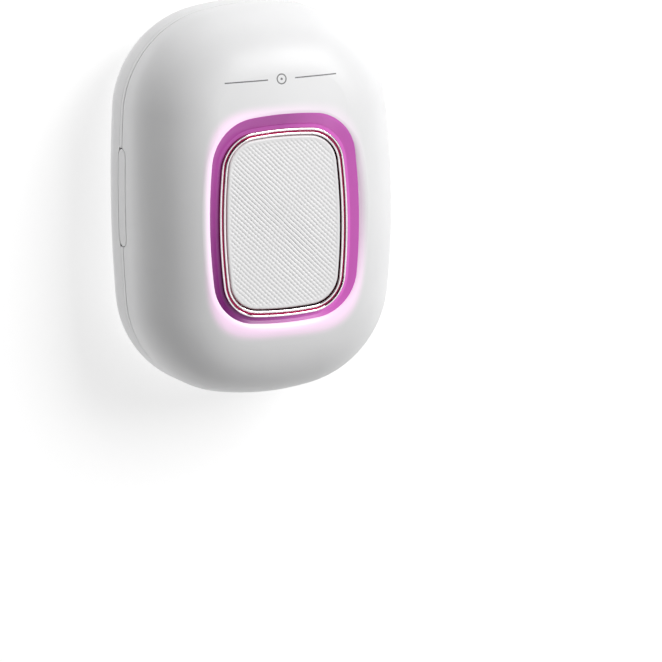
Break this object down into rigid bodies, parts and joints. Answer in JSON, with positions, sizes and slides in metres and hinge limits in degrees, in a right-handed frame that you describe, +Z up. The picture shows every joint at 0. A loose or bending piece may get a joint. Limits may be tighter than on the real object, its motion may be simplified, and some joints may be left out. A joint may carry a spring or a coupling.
{
  "type": "toothbrush sanitizer",
  "caption": "Wall-hung pebble-shaped toothbrush sanitizer case with a side-hinged lid, glowing window ring, UV lamp and dished brush chamber.",
  "frame": {"origin": "centre of the pad face that rests on the wall, midway between the case's left and right sides and between its top and bottom", "axes": "+Z up, +X to the right seen from the front, +Y into the wall, so the front faces -Y"},
  "size_m": [0.0781, 0.0431, 0.108],
  "materials": {
    "white_shell": "satin, softly pebbled white plastic",
    "white_liner": "smooth satin white plastic",
    "grip": "soft white silicone",
    "foam": "adhesive foam",
    "steel": "brushed steel",
    "chrome": "polished chrome",
    "plate": "white, finely cross-grained",
    "glow": "translucent diffuser, lit magenta",
    "panel_grey": "matt grey",
    "black": "matt black",
    "copper": "bare copper alloy",
    "board": "green solder mask",
    "led": "clear lens over magenta chip",
    "cell": "heat-shrunk blue sleeve",
    "lens": "clear ribbed quartz",
    "tube": "quartz tube",
    "mirror": "bright rolled aluminium",
    "magnet": "nickel-plated magnet",
    "gasket": "grey silicone"
  },
  "bodies": {
    "base": {"adhesive_pad": "foam", "wall_plate": "steel", "rear_shell": "white_shell", "housing_screws": "steel", "tray_liner": "white_liner", "rim_gasket": "gasket", "brush_grip_left": "grip", "brush_grip_right": "grip", "floor_panel": "panel_grey", "fan_frame": "black", "battery_cell": "cell", "main_board": "board", "usb_port": "steel", "interlock_switch": "black", "contact_collars": "black", "contact_pins": "copper", "base_magnets": "magnet", "hinge_pin": "steel", "button_springs": "steel"},
    "lid": {"front_cover": "white_shell", "lid_liner": "white_liner", "contact_pads": "copper", "lid_magnets": "magnet", "lamp_lens": "lens", "lamp_reflector": "mirror", "uv_lamp_tube": "tube", "lamp_caps": "black", "led_board": "board", "ring_leds": "led", "light_ring": "glow", "trim_ring": "chrome", "plate_springs": "gasket", "tact_switch": "black"},
    "plate": {"front_plate": "plate"},
    "button": {"release_button": "white_shell"},
    "plunger": {"switch_plunger": "panel_grey"},
    "rotor": {"fan_rotor": "black"}
  },
  "joints": [
    {"name": "lid_hinge", "type": "hinge", "parent": "base", "child": "lid", "pos_m": [0.038, -0.018, 0], "axis": [0, 0, 1], "range_deg": [0, 118]},
    {"name": "plate_press", "type": "slide", "parent": "lid", "child": "plate", "axis": [0, 1, 0], "range_m": [0, 0.0004], "stiffness_N_per_m": 2500},
    {"name": "button_press", "type": "slide", "parent": "base", "child": "button", "axis": [1, 0, 0], "range_m": [0, 0.0008], "stiffness_N_per_m": 1500, "deforming": ["button_springs"]},
    {"name": "interlock_press", "type": "slide", "parent": "base", "child": "plunger", "axis": [0, 1, 0], "range_m": [0, 0.0006], "stiffness_N_per_m": 600},
    {"name": "fan_spin", "type": "hinge", "parent": "base", "child": "rotor", "pos_m": [0, -0.0146, 0.0386], "axis": [0, 0, 1], "continuous": true}
  ]
}
